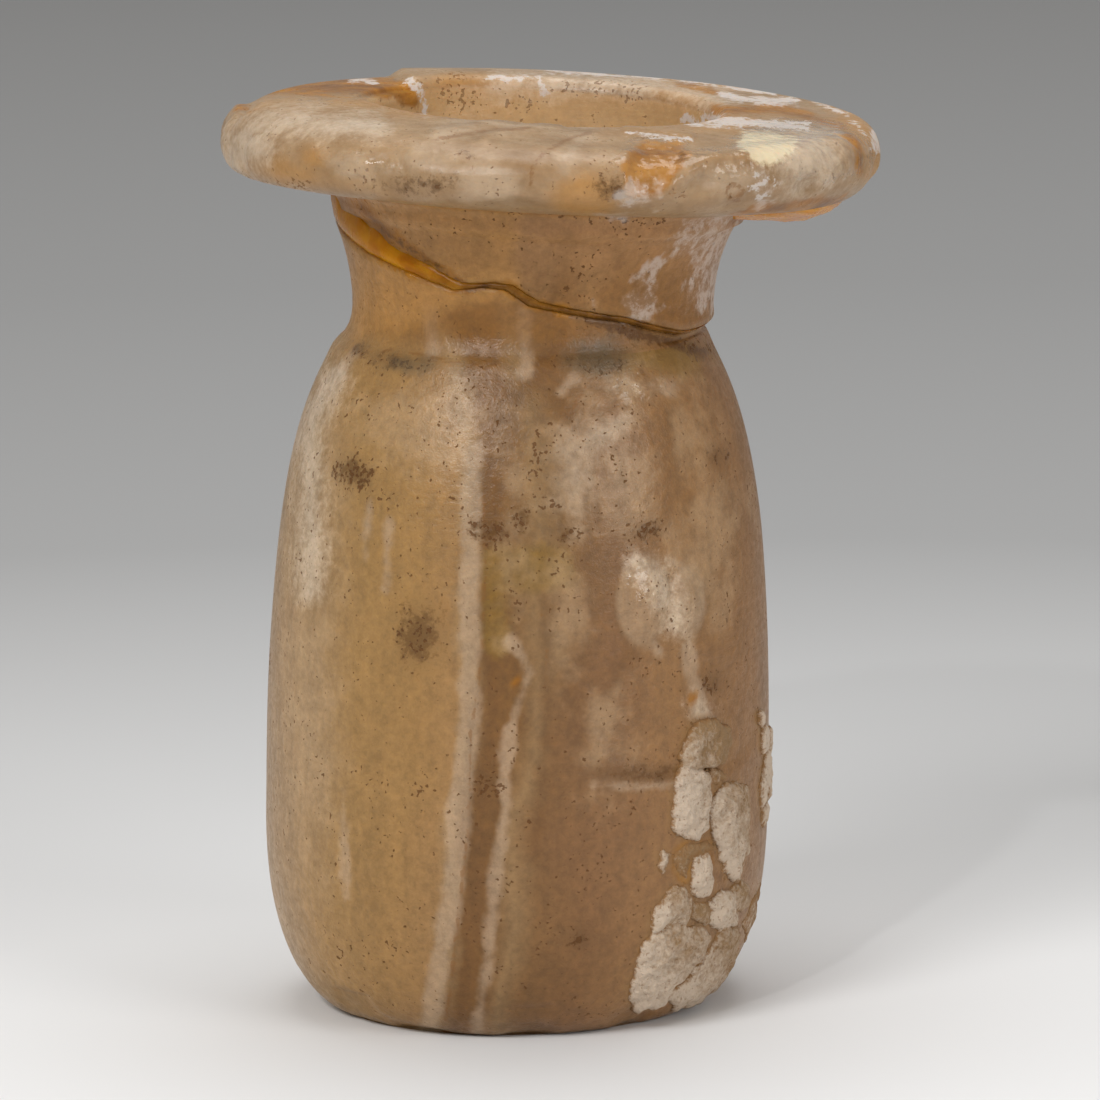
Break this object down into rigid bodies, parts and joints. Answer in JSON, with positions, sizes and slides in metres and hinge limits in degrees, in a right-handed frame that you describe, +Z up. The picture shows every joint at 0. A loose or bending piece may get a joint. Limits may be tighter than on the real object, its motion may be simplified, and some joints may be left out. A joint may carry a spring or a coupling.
{
  "type": "alabaster cosmetic jar",
  "caption": "Ancient carved alabaster cosmetic jar with a rounded body, short neck and wide thick rim, hollow and open at the mouth, broken through the neck and glued.",
  "frame": {"origin": "centre of the flat foot that the jar stands on", "axes": "+Z up out of the mouth, -Y towards the front that the picture shows, +X to the right of that front"},
  "size_m": [0.0649, 0.065, 0.0913],
  "materials": {
    "alabaster": "polished and worn, translucent, with bands"
  },
  "bodies": {
    "root": {"jar": "alabaster"}
  },
  "joints": []
}
